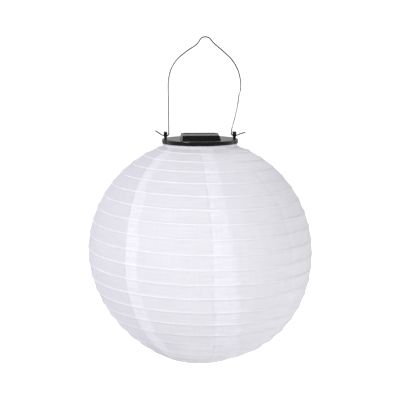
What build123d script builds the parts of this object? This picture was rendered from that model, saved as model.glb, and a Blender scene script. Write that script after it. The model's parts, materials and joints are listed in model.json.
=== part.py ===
from build123d import *
import os
from math import cos, hypot, pi, radians, sin, sqrt, tan

# A hanging solar lantern: a cloth shade on a spiral spring wire, a plastic solar cap, and a wire bail.
# Millimetres and degrees, +Z up. The origin is the centre of the open mouth, at its lowest plane.

os.makedirs("parts", exist_ok=True)

# Clearances
gap = 0.3  # loose gap between pieces that part
running = 0.1  # radial play of a pin in its hole
snug = 0.2  # play round a piece dropped in a pocket

# Shade
shade_radius = 150.0  # outside of the cloth
cloth = 0.3
gore_count = 8
gore_start = 3.5  # direction of one seam, from +X
rib_radius = 0.5  # spring wire
rib_latitude = 69.5  # where the spiral starts and ends
rib_half_turns = 39
rib_start = 72.0  # direction of the spiral's upper end, from +X
rib_play = 0.1  # wire to cloth

# Mouth of the shade
mouth_radius = 47.0  # centre line of the lower hoop
mouth_wire = 1.25
hem = 0.3  # cloth rolled round the lower hoop

# Battery bay
battery_radius = 7.25
battery_length = 50.5
battery_nub = 1.0
battery_nub_radius = 2.75
battery_edge = 0.6
battery_y = 11.0
contact_thick = 0.4
contact_side = 10.9
contact_corner = 1.0
spring_room = 4.5
spring_wire = 0.35
spring_radius = 4.6  # at the wall
spring_turns = 3.5
spring_cone = -20.0
bay_wall = 1.2
bay_height = 15.0  # walls above the floor
door_play = 0.2
door_pin = 0.7
door_pin_length = 1.1
thumb_length = 10.0  # grooves for a thumb nail
thumb_width = 0.7
thumb_pitch = 1.4
thumb_depth = 0.5
thumb_inset = 3.0
bay_half = (battery_length + spring_room) / 2 + contact_thick
bay_near = battery_y - battery_radius - door_play
bay_far = battery_y + battery_radius + door_play

# Pod round the bay, and the spigot round the pod with room for screw heads between
pod_play = 0.15  # round the ends of the door's pins
pod_wall = 1.8
pod_inner = hypot(bay_half + door_pin_length, bay_far) + pod_play
pod_radius = pod_inner + pod_wall
pod_ring = 6.7
spigot_wall = 1.8
spigot_radius = pod_radius + pod_ring
screw_place = (pod_radius + spigot_radius - spigot_wall) / 2

# Neck of the shade: collar and upper hoop
hoop_wire = 0.8
collar_wall = 3.45  # inside the groove for the hoop
collar_above = 3.0  # collar above the hoop's plane
collar_below = 2.5
collar_rim = 1.0  # top of the collar, outside the hoop's centre line
groove_play = 0.05
hoop_radius = spigot_radius + gap + collar_wall + groove_play + hoop_wire

# Cap lid
lid_overhang = 7.5
lid_radius = spigot_radius + lid_overhang
lid_height = 5.4
lid_plate = 2.2
lid_skirt = 2.2
lid_edge = 1.0

# Solar box on the lid
panel_side = 42.0
box_rim = 3.7  # plastic round the panel
box_top = panel_side + 2 * box_rim
box_height = 6.0
box_draft = 18.0
box_corner = 3.0
box_web = 1.6  # wall left under the panel
box_pocket = panel_side - 4.0  # hollow under that wall

# Solar panel
panel_sink = 0.7  # rim of the box above the panel
panel_pad = 0.5
pad_width = 4.0
panel_board = 1.2
panel_resin = 0.9
panel_frame = 1.4  # resin outside the cells
cell_count = 4
cell_gap = 0.6
cell_thick = 0.3

# Ears and bail
ear_inset = 4.8  # middle of an ear inside the edge of the lid
ear_place = lid_radius - ear_inset
ear_neck = 3.5
ear_head = 5.0
ear_width = 6.4
ear_head_radius = 3.6
ear_height = 9.6
pivot_height = 4.5
wire_radius = 0.9
foot_bend = 1.8
foot_out = 1.5  # straight wire outside an ear
bail_height = 128.9  # centre line of the apex above the pivot

# Cap base: plate, seal, lugs and pod
base_plate = 2.0
seal_height = 1.2
seal_inner = spigot_radius + snug
seal_outer = seal_inner + 2.0
lug_count = 3
lug_reach = 1.8
lug_height = 2.2
lug_angle = 14.0
lug_turn = 25.0  # twist that frees the lugs
pod_depth = 30.6
pod_floor = 2.0

# Circuit board and what it carries
board_thick = 1.6
board_above_floor = 10.4
board_play = 0.8
post_radius = 2.2
post_places = ((-21.0, -18.0), (21.0, -22.0))
led_y = -11.0
led_radius = 2.5
led_length = 8.4
led_flange = 0.4
led_flange_height = 1.0
lens_radius = 6.0
lens_wall = 1.2
lens_flange = 7.4
lens_flange_height = 1.0
lens_drop = 3.4
switch_x = 17.0
switch_y = -8.0
switch_length = 8.6
switch_width = 4.4
switch_height = 4.5
switch_shell = 0.5
switch_travel = 1.1  # each way from the middle
knob_length = 2.4
knob_width = 1.8
knob_proud = 1.2
foot_height = 1.6  # slider inside the can
ridge_width = 0.3
ridge_pitch = 0.8
chip_place = (-7.0, -16.0)
chip_size = (5.0, 4.0, 1.5)
inductor_place = (9.0, -18.0)
inductor_radius = 3.2
inductor_core = 2.4
inductor_height = 5.5
inductor_flange = 1.0

# Screws
screw_radius = 1.25
screw_head = 2.2
screw_head_height = 1.5
screw_count = 3
screw_skin = 0.8  # plastic left over a screw's tip
board_screw_radius = 1.0
board_screw_head = 1.9
board_screw_length = 6.0
board_screw_head_height = 1.2
slot_reach = 1.2  # cross slot, as shares of the head's radius and height
slot_width = 0.25
slot_depth = 0.6

# Leads from the panel to the board
lead_radius = 0.6
lead_places = (-3.0, 3.0)
lead_y = 9.0
lead_slot = (12.0, 4.0)
lead_spread = 1.3  # how much wider apart the leads end than they start
lead_end_y = -4.5
lead_middle_y = -1.5
lead_bend_heights = (0.8, 0.5, 0.25)  # as shares of the way from the board up to the lid
lead_bends = (3.2, 4.0, 4.0)

# Heights worked out from the sizes above
mouth_z = mouth_wire + hem
cloth_mouth = mouth_radius + mouth_z + gap  # the cloth ends clear of the rolled hem
cloth_neck = hoop_radius + hoop_wire + groove_play
shade_z = mouth_z + sqrt(shade_radius**2 - cloth_mouth**2)
neck_z = shade_z + sqrt(shade_radius**2 - cloth_neck**2)
collar_top = neck_z + collar_above
collar_bottom = neck_z - collar_below
base_bottom = collar_top + gap
base_top = base_bottom + base_plate
lid_bottom = base_bottom
lid_top = lid_bottom + lid_height
lid_under = lid_top - lid_plate
box_top_z = lid_top + box_height
panel_z = box_top_z - panel_sink - panel_resin - panel_board - panel_pad
pivot_z = lid_top + pivot_height
pod_bottom = base_bottom - pod_depth
floor_z = pod_bottom + pod_floor
board_z = floor_z + board_above_floor
battery_z = floor_z + battery_radius + gap
spigot_bottom = collar_bottom - gap - lug_height - gap
lens_dome = (lens_radius**2 + (lens_drop / 2) ** 2) / lens_drop  # radius of the lens's domed end


def tilted_plane(angle):
    """A vertical plane through the axis of the lantern, its local x pointing in direction angle."""
    across = (cos(radians(angle)), sin(radians(angle)), 0)
    return Plane(origin=(0, 0, 0), x_dir=across, z_dir=(across[1], -across[0], 0))


def save(node, label):
    """Label a finished piece and write it."""
    node.part.label = label
    export_step(node.part, f"parts/{label}.step")


def ring(inner, outer, low, high):
    """A flat ring about the lantern's axis."""
    with BuildPart() as made:
        with BuildSketch(Plane.XY.offset(low)):
            Circle(outer)
            Circle(inner, mode=Mode.SUBTRACT)
        extrude(amount=high - low)
    return made


def hoop(center, wire, height, inside=0.0):
    """A round wire bent to a hoop, or a tube of cloth round one."""
    with BuildPart() as made:
        with BuildSketch(Plane.XZ):
            with Locations((center, height)):
                Circle(wire)
                if inside:
                    Circle(inside, mode=Mode.SUBTRACT)
        revolve(axis=Axis.Z)
    return made


# ---------------------------------------------------------------- shade

def make_gore(angle):
    """One sewn panel of the shade, from the neck to the mouth."""
    inner = shade_radius - cloth
    with BuildPart() as made:
        with BuildSketch(tilted_plane(angle)):
            with BuildLine():
                outside = ThreePointArc(
                    (cloth_neck, shade_z + sqrt(shade_radius**2 - cloth_neck**2)),
                    (shade_radius, shade_z),
                    (cloth_mouth, shade_z - sqrt(shade_radius**2 - cloth_mouth**2)),
                )
                inside = ThreePointArc(
                    (cloth_neck, shade_z + sqrt(inner**2 - cloth_neck**2)),
                    (inner, shade_z),
                    (cloth_mouth, shade_z - sqrt(inner**2 - cloth_mouth**2)),
                )
                Line(outside @ 0, inside @ 0)
                Line(outside @ 1, inside @ 1)
            make_face()
        revolve(axis=Axis.Z, revolution_arc=360 / gore_count)
    return made


for number in range(gore_count):
    gore = make_gore(gore_start + number * 360 / gore_count)
    save(gore, f"gore_{number + 1}")


# The spiral is a chain of half turns. Each is half a circle that lies on the sphere, in a plane
# a little off level, so neighbours meet with the same tangent.
coil_radius = shade_radius - cloth - rib_play - rib_radius


def coil_end(step):
    """Where the spiral crosses its own vertical plane after so many half turns: across, up."""
    latitude = radians(rib_latitude * (1 - 2 * step / rib_half_turns))
    side = 1 if step % 2 == 0 else -1
    return side * coil_radius * cos(latitude), coil_radius * sin(latitude)


def half_turn(step):
    """The arc from one crossing to the next, going round anticlockwise from above."""
    start_across, start_up = coil_end(step)
    end_across, end_up = coil_end(step + 1)
    side = 1 if step % 2 == 0 else -1
    bulge = side * hypot(end_across - start_across, end_up - start_up) / 2
    return ThreePointArc(
        (start_across, 0, start_up),
        ((start_across + end_across) / 2, bulge, (start_up + end_up) / 2),
        (end_across, 0, end_up),
    )


rib_across = (cos(radians(rib_start)), sin(radians(rib_start)), 0)
with BuildPart() as rib_coil:
    with BuildLine(Plane(origin=(0, 0, shade_z), x_dir=rib_across, z_dir=(0, 0, 1))) as spiral:
        for step in range(rib_half_turns):
            half_turn(step)
    with BuildSketch(Plane(origin=spiral.line @ 0, z_dir=spiral.line % 0)):
        Circle(rib_radius)
    sweep(path=spiral.line)
save(rib_coil, "rib_coil")

mouth_hoop = hoop(mouth_radius, mouth_wire, mouth_z)
save(mouth_hoop, "mouth_hoop")
mouth_hem = hoop(mouth_radius, mouth_wire + hem, mouth_z, mouth_wire)
save(mouth_hem, "mouth_hem")
neck_hoop = hoop(hoop_radius, hoop_wire, neck_z)
save(neck_hoop, "neck_hoop")


def sector(inner, outer, low, high, middle, width):
    """A block between two radii, width degrees wide."""
    with BuildPart() as made:
        with BuildSketch(tilted_plane(middle - width / 2)):
            with Locations(((inner + outer) / 2, (low + high) / 2)):
                Rectangle(outer - inner, high - low)
        revolve(axis=Axis.Z, revolution_arc=width)
    return made.part


# The collar is a ring with a groove for the upper hoop and a notch for each lug.
with BuildPart() as shade_collar:
    collar_inner = spigot_radius + gap
    groove_floor = hoop_radius - hoop_wire - groove_play
    groove_half = hoop_wire + groove_play
    with BuildSketch(Plane.XZ):
        with BuildLine():
            Polyline(
                (collar_inner, collar_bottom),
                (hoop_radius, collar_bottom),
                (hoop_radius, neck_z - groove_half),
                (groove_floor, neck_z - groove_half),
                (groove_floor, neck_z + groove_half),
                (hoop_radius + collar_rim, neck_z + groove_half),
                (hoop_radius + collar_rim, collar_top),
                (collar_inner, collar_top),
                close=True,
            )
        make_face()
    revolve(axis=Axis.Z)
    for lug in range(lug_count):
        notch = sector(
            collar_inner - gap,
            spigot_radius + lug_reach + gap,
            collar_bottom - gap,
            collar_top + gap,
            lug * 360 / lug_count - lug_turn,
            lug_angle + 2 * gap,
        )
        add(notch, mode=Mode.SUBTRACT)
save(shade_collar, "shade_collar")


# ---------------------------------------------------------------- cap lid

screw_angles = [90 + number * 360 / screw_count for number in range(screw_count)]

with BuildPart() as cap_lid:
    with BuildSketch(Plane.XY.offset(lid_bottom)):
        Circle(lid_radius)
    extrude(amount=lid_height)
    rim = cap_lid.edges().group_by(Axis.Z)[-1]
    fillet(rim, lid_edge)
    # the drafted solar box, wider at its foot than at its top
    box_foot = box_top + 2 * box_height * tan(radians(box_draft))
    with BuildSketch(Plane.XY.offset(lid_top)):
        RectangleRounded(box_foot, box_foot, box_corner)
    extrude(amount=box_height, taper=box_draft)
    # two ears, each a neck with a rounded head
    for side in (-1, 1):
        with BuildSketch(Plane.XY.offset(lid_top)):
            with Locations((side * ear_place, 0)):
                Rectangle(ear_neck, ear_width)
        extrude(amount=ear_height - ear_head_radius)
        with BuildSketch(Plane.YZ.offset(side * ear_place - ear_head / 2)):
            with Locations((0, lid_top + ear_height - ear_head_radius)):
                Circle(ear_head_radius)
        extrude(amount=ear_head)
    # hollow from below, leaving the bosses that the screws bite in
    with BuildSketch(Plane.XY.offset(lid_bottom)):
        Circle(lid_radius - lid_skirt)
    extrude(amount=lid_under - lid_bottom, mode=Mode.SUBTRACT)
    with BuildSketch(Plane.XY.offset(lid_under)):
        RectangleRounded(box_pocket, box_pocket, box_corner)
    extrude(amount=panel_z - box_web - lid_under, mode=Mode.SUBTRACT)
    with BuildSketch(Plane.XY.offset(base_top)):
        with PolarLocations(screw_place, screw_count, start_angle=screw_angles[0]):
            Circle(screw_head)
    extrude(amount=lid_under - base_top)
    with BuildSketch(Plane.XY.offset(base_top)):
        with PolarLocations(screw_place, screw_count, start_angle=screw_angles[0]):
            Circle(screw_radius)
    extrude(amount=lid_top - screw_skin - base_top, mode=Mode.SUBTRACT)
    # recess for the panel, and the slot that its leads go down
    with BuildSketch(Plane.XY.offset(panel_z)):
        RectangleRounded(panel_side + 2 * snug, panel_side + 2 * snug, snug * 2)
    extrude(amount=box_height, mode=Mode.SUBTRACT)
    with BuildSketch(Plane.XY.offset(lid_under)):
        with Locations((0, lead_y)):
            SlotOverall(*lead_slot)
    extrude(amount=box_height, mode=Mode.SUBTRACT)
    # a hole for the bail through each ear
    for side in (-1, 1):
        with BuildSketch(Plane.YZ.offset(side * ear_place - ear_head / 2)):
            with Locations((0, pivot_z)):
                Circle(wire_radius + running)
        extrude(amount=ear_head, mode=Mode.SUBTRACT)
save(cap_lid, "cap_lid")


# ---------------------------------------------------------------- solar panel

with BuildPart() as panel_pad_ring:
    with BuildSketch(Plane.XY.offset(panel_z)):
        Rectangle(panel_side, panel_side)
        Rectangle(panel_side - 2 * pad_width, panel_side - 2 * pad_width, mode=Mode.SUBTRACT)
    extrude(amount=panel_pad)
save(panel_pad_ring, "panel_pad")

board_low = panel_z + panel_pad
with BuildPart() as solar_board:
    with BuildSketch(Plane.XY.offset(board_low)):
        Rectangle(panel_side, panel_side)
    extrude(amount=panel_board)
save(solar_board, "solar_board")

cell_area = panel_side - 2 * panel_frame
cell_pitch = (cell_area + cell_gap) / cell_count
with BuildPart() as solar_cells:
    with BuildSketch(Plane.XY.offset(board_low + panel_board)):
        with GridLocations(cell_pitch, 0, cell_count, 1):
            Rectangle(cell_pitch - cell_gap, cell_area)
    extrude(amount=cell_thick)
save(solar_cells, "solar_cells")

with BuildPart() as panel_cover:
    with BuildSketch(Plane.XY.offset(board_low + panel_board)):
        RectangleRounded(panel_side, panel_side, snug)
    extrude(amount=panel_resin)
    with BuildSketch(Plane.XY.offset(board_low + panel_board)):
        with GridLocations(cell_pitch, 0, cell_count, 1):
            Rectangle(cell_pitch - cell_gap, cell_area)
    extrude(amount=cell_thick, mode=Mode.SUBTRACT)
save(panel_cover, "panel_resin")


# ---------------------------------------------------------------- bail

# Route of the wire between its feet: across as shares of the ears' distance, and height above the pivot.
foot_x = ear_place - ear_head / 2 - foot_bend - running
end_x = ear_place + ear_head / 2 + foot_out
bail_middle = [
    (-0.917, 72.5),
    (-0.840, 87.3),
    (-0.687, 98.9),
    (-0.433, 109.0),
    (-0.083, 119.2),
    (0.048, bail_height),
    (0.249, bail_height),
    (0.385, 121.1),
    (0.713, 108.5),
    (0.932, 99.0),
    (1.098, 86.2),
    (1.179, 71.0),
    (1.168, 58.6),
    (1.131, 55.0),
    (1.094, 40.5),
    (1.007, 22.4),
    (0.919, 8.0),
]
# Both ends turn up a little outside the ears.
bail_route = [
    (-end_x - 9.6, 6.3),
    (-end_x, 0),
    (-foot_x, 0),
    *[(share * ear_place, height) for share, height in bail_middle],
    (foot_x, 0),
    (end_x, 0),
    (end_x + 4.9, 2.4),
    (end_x + 10.7, 3.4),
]


def bend_radii(route, tight):
    """Widest tangent bend at each corner that its two runs allow, or the tight one at a foot."""
    radii = []
    for before, corner, after in zip(route, route[1:], route[2:]):
        into = Vector(*corner) - Vector(*before)
        out = Vector(*after) - Vector(*corner)
        turn = radians(into.get_angle(out))
        wide = 0.45 * min(into.length, out.length) / tan(turn / 2)
        is_foot = abs(abs(corner[0]) - foot_x) < 0.01 and corner[1] == 0
        is_end = abs(abs(corner[0]) - end_x) < 0.01
        radii.append(tight if is_foot else 2 * tight if is_end else wide)
    return radii


with BuildPart() as bail_wire:
    with BuildLine(Plane.XZ) as bail_line:
        bail_points = [(x, pivot_z + height) for x, height in bail_route]
        FilletPolyline(*bail_points, radius=bend_radii(bail_route, foot_bend))
    with BuildSketch(Plane(origin=bail_line.line @ 0, z_dir=bail_line.line % 0)):
        Circle(wire_radius)
    sweep(path=bail_line.line)
save(bail_wire, "bail_wire")


# ---------------------------------------------------------------- cap base and pod

slot_half = switch_travel + knob_length / 2 + snug
door_axis_y = bay_far - door_play - pod_floor / 2
door_axis_z = pod_bottom + pod_floor / 2

with BuildPart() as cap_base:
    # plate and cup
    with BuildSketch(Plane.XY.offset(base_bottom)):
        Circle(lid_radius - lid_skirt - gap)
    extrude(amount=base_plate)
    with BuildSketch(Plane.XY.offset(pod_bottom)):
        Circle(pod_radius)
    extrude(amount=pod_depth)
    with BuildSketch(Plane.XY.offset(floor_z)):
        Circle(pod_inner)
    extrude(amount=base_top - floor_z, mode=Mode.SUBTRACT)
    fillet(cap_base.edges().group_by(Axis.Z)[0], lid_edge)
    # spigot, with the lugs that hook under the collar
    with BuildSketch(Plane.XY.offset(spigot_bottom)):
        Circle(spigot_radius)
        Circle(spigot_radius - spigot_wall, mode=Mode.SUBTRACT)
    extrude(amount=base_bottom - spigot_bottom)
    lug_low = collar_bottom - gap - lug_height
    for lug in range(lug_count):
        add(sector(spigot_radius - spigot_wall / 2, spigot_radius + lug_reach,
                   lug_low, lug_low + lug_height, lug * 360 / lug_count, lug_angle))
    # walls of the battery bay, trimmed to the inside of the cup
    with BuildSketch(Plane.XY.offset(floor_z)) as bay_plan:
        with Locations((0, bay_near - bay_wall / 2)):
            Rectangle(2 * pod_radius, bay_wall)
        for side in (-1, 1):
            with Locations((side * (bay_half + bay_wall / 2), bay_near + pod_inner / 2)):
                Rectangle(bay_wall, pod_inner)
        Circle(pod_inner, mode=Mode.INTERSECT)
    extrude(amount=bay_height)
    # posts for the board
    with BuildSketch(Plane.XY.offset(floor_z)):
        with Locations(*post_places):
            Circle(post_radius)
    extrude(amount=board_z - floor_z)
    with BuildSketch(Plane.XY.offset(board_z)):
        with Locations(*post_places):
            Circle(board_screw_radius)
    extrude(amount=board_thick - board_screw_length, mode=Mode.SUBTRACT)
    # holes: battery door with its pin sockets, lens, switch, cap screws
    with BuildSketch(Plane.XY.offset(pod_bottom)):
        with Locations((0, battery_y)):
            Rectangle(2 * bay_half, bay_far - bay_near)
        with Locations((0, led_y)):
            Circle(lens_radius + snug)
        with Locations((switch_x, switch_y)):
            Rectangle(2 * slot_half, knob_width + 2 * snug)
    extrude(amount=pod_floor, mode=Mode.SUBTRACT)
    with BuildSketch(Plane.YZ.offset(-bay_half - door_pin_length)):
        with Locations((door_axis_y, door_axis_z)):
            Circle(door_pin + running)
    extrude(amount=2 * (bay_half + door_pin_length), mode=Mode.SUBTRACT)
    with BuildSketch(Plane.XY.offset(base_bottom)):
        with PolarLocations(screw_place, screw_count, start_angle=screw_angles[0]):
            Circle(screw_radius + running)
    extrude(amount=base_plate, mode=Mode.SUBTRACT)
save(cap_base, "cap_base")

seal_ring = ring(seal_inner, seal_outer, base_top, base_top + seal_height)
save(seal_ring, "seal_ring")


def make_screws(places, shank, length, head, head_height, seat, up):
    """Round-headed screws on a flat seat; up is 1 when the shank points up."""
    with BuildPart() as made:
        for x, y in places:
            with BuildSketch(Plane.XY.offset(seat)):
                with Locations((x, y)):
                    Circle(shank)
            extrude(amount=up * length)
            with BuildSketch(Plane.XY.offset(seat)):
                with Locations((x, y)):
                    Circle(head)
            extrude(amount=-up * head_height)
            with BuildSketch(Plane.XY.offset(seat - up * head_height)):
                with Locations((x, y)):
                    Rectangle(head * slot_reach, head * slot_width)
                    Rectangle(head * slot_width, head * slot_reach)
            extrude(amount=up * head_height * slot_depth, mode=Mode.SUBTRACT)
    return made


cap_screw_places = [
    (screw_place * cos(radians(angle)), screw_place * sin(radians(angle))) for angle in screw_angles
]
cap_screw_length = lid_top - screw_skin - base_bottom - gap
cap_screws = make_screws(
    cap_screw_places, screw_radius, cap_screw_length, screw_head, screw_head_height, base_bottom, 1
)
save(cap_screws, "cap_screws")


# ---------------------------------------------------------------- battery, contacts and door

with BuildPart() as battery:
    nub_end = bay_half - contact_thick
    with BuildSketch(Plane.YZ.offset(nub_end - battery_length)):
        with Locations((battery_y, battery_z)):
            Circle(battery_radius)
    extrude(amount=battery_length - battery_nub)
    fillet(battery.edges(), battery_edge)
    with BuildSketch(Plane.YZ.offset(nub_end - battery_nub)):
        with Locations((battery_y, battery_z)):
            Circle(battery_nub_radius)
    extrude(amount=battery_nub)
save(battery, "battery_cell")


def contact_plate(place):
    """A tin contact that stands against one end wall of the bay."""
    with BuildPart() as made:
        with BuildSketch(Plane.YZ.offset(place)):
            with Locations((battery_y, battery_z)):
                RectangleRounded(contact_side, contact_side, contact_corner)
        extrude(amount=contact_thick)
    return made


plus_contact = contact_plate(bay_half - contact_thick)
save(plus_contact, "plus_contact")
minus_contact = contact_plate(-bay_half)
save(minus_contact, "minus_contact")

# The spring widens from the battery towards the wall, and just touches both.
with BuildPart() as battery_spring:
    spring_height = spring_room - 2 * spring_wire - running
    spring_start = -bay_half + contact_thick + spring_wire + running / 2
    with BuildLine() as spring_line:
        Helix(
            pitch=spring_height / spring_turns,
            height=spring_height,
            radius=spring_radius,
            center=(spring_start, battery_y, battery_z),
            direction=(1, 0, 0),
            cone_angle=spring_cone,
        )
    with BuildSketch(Plane(origin=spring_line.line @ 0, z_dir=spring_line.line % 0)):
        Circle(spring_wire)
    sweep(path=spring_line.line, is_frenet=True)
save(battery_spring, "battery_spring")

# The door is flush with the floor of the pod. Its hinge edge is round about the pins.
with BuildPart() as battery_door:
    door_near = bay_near + door_play
    with BuildSketch(Plane.YZ.offset(-bay_half + door_play)):
        with Locations(((door_near + door_axis_y) / 2, door_axis_z)):
            Rectangle(door_axis_y - door_near, pod_floor)
        with Locations((door_axis_y, door_axis_z)):
            Circle(pod_floor / 2)
    extrude(amount=2 * (bay_half - door_play))
    with BuildSketch(Plane.YZ.offset(-bay_half - door_pin_length + door_play)):
        with Locations((door_axis_y, door_axis_z)):
            Circle(door_pin)
    extrude(amount=2 * (bay_half + door_pin_length - door_play))
    # thumb grooves near the free edge
    with BuildSketch(Plane.XY.offset(pod_bottom)):
        with Locations((0, door_near + thumb_inset)):
            with GridLocations(0, thumb_pitch, 1, 3):
                SlotOverall(thumb_length, thumb_width)
    extrude(amount=thumb_depth, mode=Mode.SUBTRACT)
save(battery_door, "battery_door")


# ---------------------------------------------------------------- board, light, switch and leads

board_radius = pod_inner - board_play
board_edge = bay_near - bay_wall - gap
with BuildPart() as circuit_board:
    with BuildSketch(Plane.XY.offset(board_z)):
        Circle(board_radius)
        with Locations((0, board_edge + board_radius)):
            Rectangle(2 * board_radius, 2 * board_radius, mode=Mode.SUBTRACT)
        with Locations(*post_places):
            Circle(board_screw_radius + running, mode=Mode.SUBTRACT)
    extrude(amount=board_thick)
save(circuit_board, "circuit_board")

board_top = board_z + board_thick
board_screws = make_screws(
    post_places,
    board_screw_radius,
    board_screw_length - gap,
    board_screw_head,
    board_screw_head_height,
    board_top,
    -1,
)
save(board_screws, "board_screws")


with BuildPart() as driver_chip:
    with BuildSketch(Plane.XY.offset(board_top)):
        with Locations(chip_place):
            Rectangle(chip_size[0], chip_size[1])
    extrude(amount=chip_size[2])
save(driver_chip, "driver_chip")

with BuildPart() as inductor:
    with BuildSketch(Plane.XY.offset(board_top)):
        with Locations(inductor_place):
            Circle(inductor_radius)
    extrude(amount=inductor_height)
    with BuildSketch(Plane.XY.offset(board_top + inductor_flange)):
        with Locations(inductor_place):
            Circle(inductor_radius)
            Circle(inductor_core, mode=Mode.SUBTRACT)
    extrude(amount=inductor_height - 2 * inductor_flange, mode=Mode.SUBTRACT)
save(inductor, "inductor")

with BuildPart() as led:
    with BuildSketch(Plane.XZ.offset(-led_y)):
        with BuildLine():
            Polyline(
                (0, board_z),
                (led_radius + led_flange, board_z),
                (led_radius + led_flange, board_z - led_flange_height),
                (led_radius, board_z - led_flange_height),
                (led_radius, board_z - led_length + led_radius),
            )
            RadiusArc(
                (led_radius, board_z - led_length + led_radius), (0, board_z - led_length), led_radius
            )
            Line((0, board_z - led_length), (0, board_z))
        make_face()
    revolve(axis=Axis((0, led_y, 0), (0, 0, 1)))
save(led, "led")

# The lens hangs in the floor of the pod by its flange, with a domed end.
with BuildPart() as led_lens:
    with BuildSketch(Plane.XZ.offset(-led_y)):
        with BuildLine():
            Polyline(
                (lens_radius - lens_wall, floor_z + lens_flange_height),
                (lens_flange, floor_z + lens_flange_height),
                (lens_flange, floor_z),
                (lens_radius, floor_z),
                (lens_radius, pod_bottom - lens_drop / 2),
            )
            RadiusArc(
                (lens_radius, pod_bottom - lens_drop / 2), (0, pod_bottom - lens_drop), lens_dome
            )
            Polyline(
                (0, pod_bottom - lens_drop),
                (0, pod_bottom - lens_drop + lens_wall),
                (lens_radius - lens_wall, pod_bottom - lens_drop / 2 + lens_wall / 2),
                (lens_radius - lens_wall, floor_z + lens_flange_height),
            )
        make_face()
    revolve(axis=Axis((0, led_y, 0), (0, 0, 1)))
save(led_lens, "led_lens")

with BuildPart() as switch_can:
    with BuildSketch(Plane.XY.offset(board_z)):
        with Locations((switch_x, switch_y)):
            Rectangle(switch_length, switch_width)
    extrude(amount=-switch_height)
    with BuildSketch(Plane.XY.offset(board_z - switch_shell)):
        with Locations((switch_x, switch_y)):
            Rectangle(switch_length - 2 * switch_shell, switch_width - 2 * switch_shell)
    extrude(amount=2 * switch_shell - switch_height, mode=Mode.SUBTRACT)
    with BuildSketch(Plane.XY.offset(board_z - switch_height)):
        with Locations((switch_x, switch_y)):
            Rectangle(2 * slot_half, knob_width + 2 * snug)
    extrude(amount=switch_shell, mode=Mode.SUBTRACT)
save(switch_can, "switch_can")

# The slider's foot runs inside the can, and its stem comes out through the floor.
with BuildPart() as switch_slider:
    foot_length = switch_length - 2 * switch_shell - 2 * switch_travel - 2 * snug
    with BuildSketch(Plane.XY.offset(board_z - switch_height + switch_shell + running)):
        with Locations((switch_x, switch_y)):
            Rectangle(foot_length, switch_width - 2 * switch_shell - 2 * snug)
    extrude(amount=foot_height)
    with BuildSketch(Plane.XY.offset(board_z - switch_height + switch_shell + running)):
        with Locations((switch_x, switch_y)):
            Rectangle(knob_length, knob_width)
    stem = board_z - switch_height + switch_shell + running - pod_bottom + knob_proud
    extrude(amount=-stem)
    # grip ridges on the tip
    with BuildSketch(Plane.XY.offset(pod_bottom - knob_proud)):
        with Locations((switch_x, switch_y)):
            with GridLocations(ridge_pitch, 0, 3, 1):
                Rectangle(ridge_width, knob_width)
    extrude(amount=ridge_width, mode=Mode.SUBTRACT)
save(switch_slider, "switch_slider")


def make_lead(x):
    """One insulated lead, from the back of the panel down to the board."""
    low_x = x * lead_spread
    upper, middle, lower = [board_top + share * (lid_under - board_top) for share in lead_bend_heights]
    points = [
        (x, lead_y, board_low),
        (x, lead_y, upper),
        (low_x, lead_middle_y, middle),
        (low_x, lead_end_y, lower),
        (low_x, lead_end_y, board_top),
    ]
    with BuildPart() as made:
        with BuildLine() as route:
            FilletPolyline(*points, radius=lead_bends)
        with BuildSketch(Plane(origin=route.line @ 0, z_dir=route.line % 0)):
            Circle(lead_radius)
        sweep(path=route.line)
    return made


for x, label in zip(lead_places, ("lead_minus", "lead_plus")):
    lead = make_lead(x)
    save(lead, label)
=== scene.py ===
# A hanging solar lantern: a cloth shade on a spiral spring wire, a black solar cap and a wire bail.
# Metres, +Z up, the open mouth of the shade at the bottom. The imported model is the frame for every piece.
import json
import math

import bpy
from mathutils import Euler, Matrix, Vector


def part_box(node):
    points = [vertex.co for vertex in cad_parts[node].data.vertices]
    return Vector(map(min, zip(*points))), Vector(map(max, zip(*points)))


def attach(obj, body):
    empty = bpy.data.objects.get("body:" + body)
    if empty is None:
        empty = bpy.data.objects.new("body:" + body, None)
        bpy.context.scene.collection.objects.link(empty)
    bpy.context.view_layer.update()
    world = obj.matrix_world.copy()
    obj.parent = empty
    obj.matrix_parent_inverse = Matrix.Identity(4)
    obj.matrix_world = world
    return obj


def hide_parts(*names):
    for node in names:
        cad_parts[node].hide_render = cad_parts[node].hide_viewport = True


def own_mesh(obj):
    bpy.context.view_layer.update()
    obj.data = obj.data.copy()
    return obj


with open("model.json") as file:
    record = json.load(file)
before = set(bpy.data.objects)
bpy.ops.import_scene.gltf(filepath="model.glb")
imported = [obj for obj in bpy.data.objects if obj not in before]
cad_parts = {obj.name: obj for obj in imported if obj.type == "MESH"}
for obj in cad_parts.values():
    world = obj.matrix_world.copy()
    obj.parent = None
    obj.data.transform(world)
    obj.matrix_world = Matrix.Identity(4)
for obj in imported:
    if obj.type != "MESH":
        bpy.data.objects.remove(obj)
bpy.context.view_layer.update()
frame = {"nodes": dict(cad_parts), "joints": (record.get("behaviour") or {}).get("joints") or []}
nodes = frame["nodes"]
print("frame loaded,", len(nodes), "nodes")

degree = math.pi / 180
turn = 2 * math.pi


# small helpers for building node trees


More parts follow.
